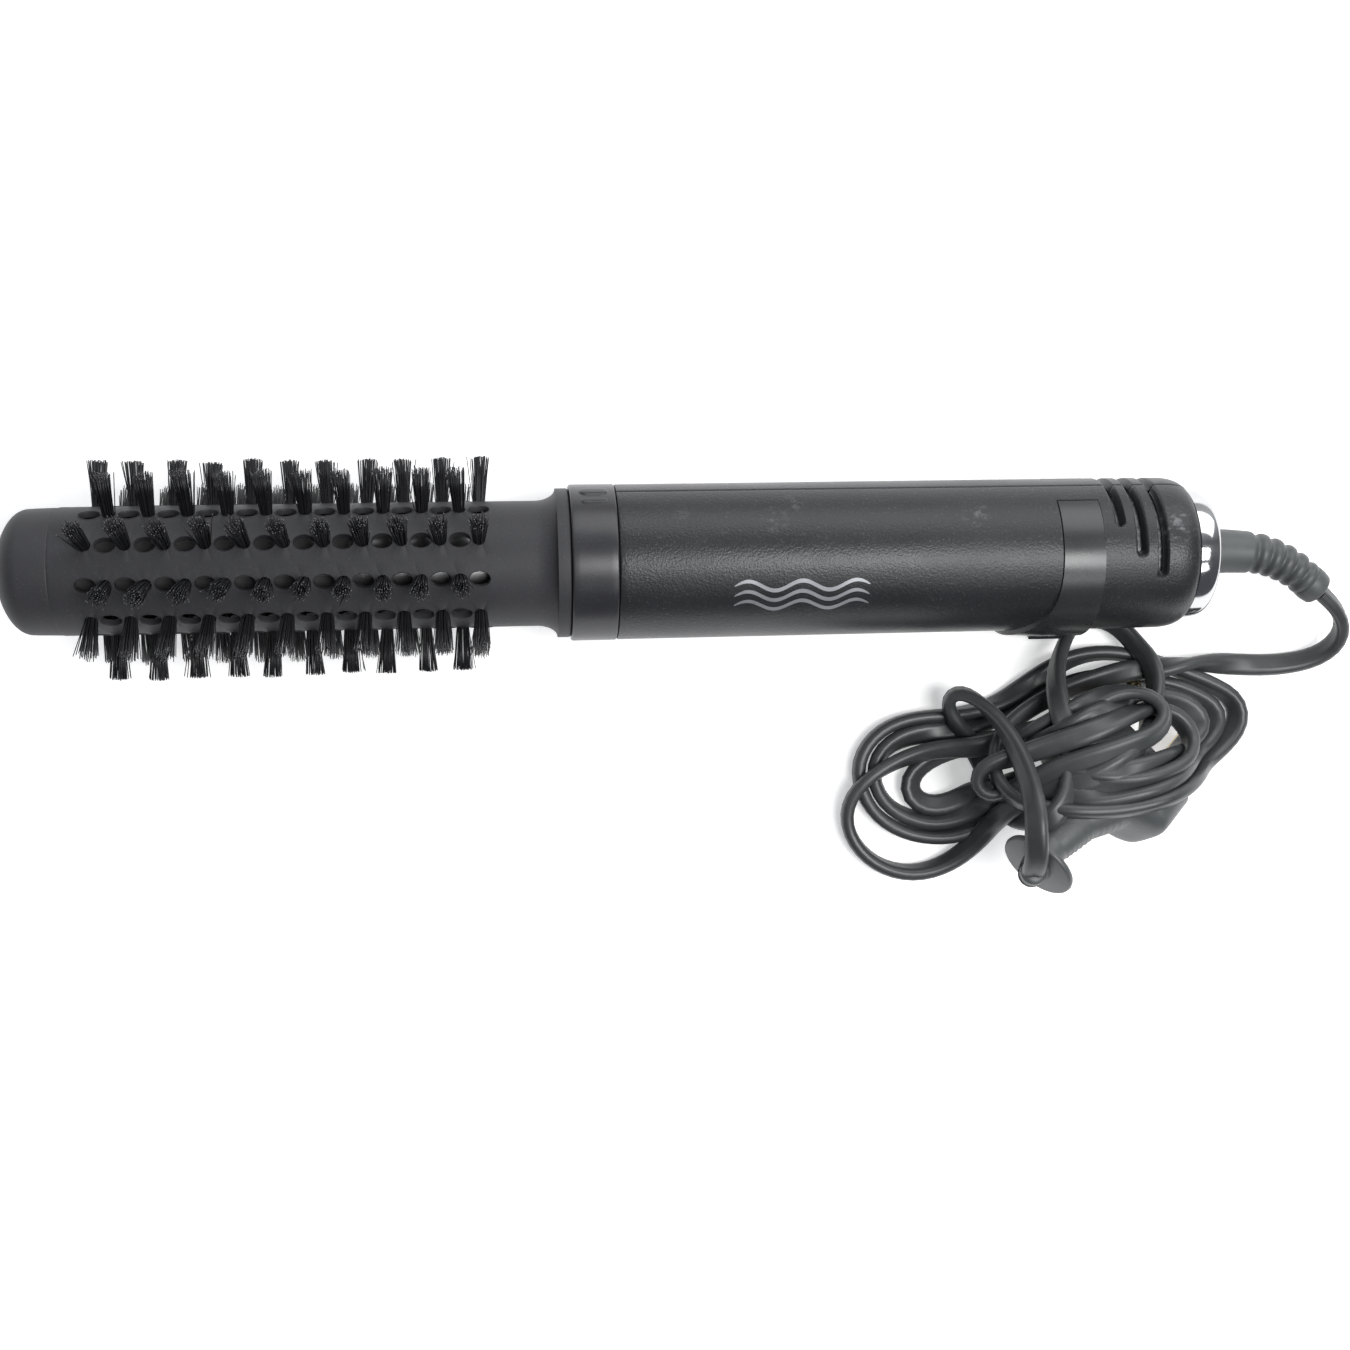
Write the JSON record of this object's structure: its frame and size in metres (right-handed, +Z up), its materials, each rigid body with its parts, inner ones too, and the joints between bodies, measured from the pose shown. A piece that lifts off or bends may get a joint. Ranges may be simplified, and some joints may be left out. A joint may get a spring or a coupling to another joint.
{
  "type": "hot air brush",
  "caption": "Hand-held hot air styler: a round barrel of bristle tufts and air holes that pulls off a cylindrical heater and fan handle, with a tied mains lead and plug.",
  "frame": {"origin": "on the surface that the brush lies on, under the middle of the brush without its lead", "axes": "+Z up from that surface; +X along the brush from its tip to the lead, level; +Y completes the frame. The brush's own axis falls 2.6 degrees towards +X"},
  "size_m": [0.338, 0.1124, 0.0575],
  "materials": {
    "matt_black": "matt, slightly dusty moulded plastic",
    "satin_black": "satin with a fine spark texture",
    "gloss_black": "smooth satin gloss, polished by the thumb",
    "bristle": "black nylon filaments",
    "chrome": "bright plating",
    "steel": "plain sheet steel",
    "brass": "nickelled brass",
    "mica": "pressed mica sheet",
    "heater_wire": "oxidised resistance wire",
    "board": "glass-fibre board",
    "heat_resin": "heat-proof moulding",
    "cord": "soft black PVC with a sheen",
    "lead_blue": "PVC insulation",
    "lead_brown": "PVC insulation"
  },
  "bodies": {
    "handle": {"outlet_nozzle": "steel", "outlet_grille": "heat_resin", "heater_sleeve": "mica", "mica_frame": "mica", "heating_coil": "heater_wire", "thermostat": "steel", "thermal_fuse": "steel", "fan_housing": "heat_resin", "motor": "steel", "rectifier_board": "board", "handle_shell_top": "satin_black", "handle_shell_bottom": "satin_black", "switch_bezel": "gloss_black", "switch_body": "heat_resin", "air_filter": "steel", "chrome_ring": "chrome", "end_cap": "satin_black", "cord_clamp": "heat_resin", "lead_live": "lead_brown", "lead_neutral": "lead_blue", "strain_relief": "cord", "cord_tube": "cord", "cord_bundle": "cord", "plug_body": "cord", "plug_pin_live": "brass", "plug_pin_neutral": "brass"},
    "brush_attachment": {"tip_cap": "matt_black", "brush_barrel": "matt_black", "air_guide_core": "heat_resin", "bristle_row_01": "bristle", "bristle_row_02": "bristle", "bristle_row_03": "bristle", "bristle_row_04": "bristle", "bristle_row_05": "bristle", "bristle_row_06": "bristle", "bristle_row_07": "bristle", "bristle_row_08": "bristle", "bristle_row_09": "bristle", "bristle_row_10": "bristle"},
    "lock_ring": {"lock_ring": "satin_black"},
    "switch": {"switch_slider": "gloss_black", "switch_lever": "heat_resin"},
    "fan": {"impeller": "satin_black", "motor_shaft": "steel"}
  },
  "joints": [
    {"name": "attachment_slide", "type": "slide", "parent": "handle", "child": "brush_attachment", "axis": [-0.999, 0, 0.0455], "range_m": [0, 0.045]},
    {"name": "lock_ring_turn", "type": "hinge", "parent": "handle", "child": "lock_ring", "pos_m": [-0.00734, 0, 0.02585], "axis": [0.999, 0, -0.0455], "range_deg": [0, 35]},
    {"name": "switch_slide", "type": "slide", "parent": "handle", "child": "switch", "axis": [-0.999, 0, 0.0455], "range_m": [0, 0.007]},
    {"name": "fan_spin", "type": "hinge", "parent": "handle", "child": "fan", "pos_m": [0.06259, 0, 0.02267], "axis": [0.999, 0, -0.0455], "continuous": true}
  ]
}
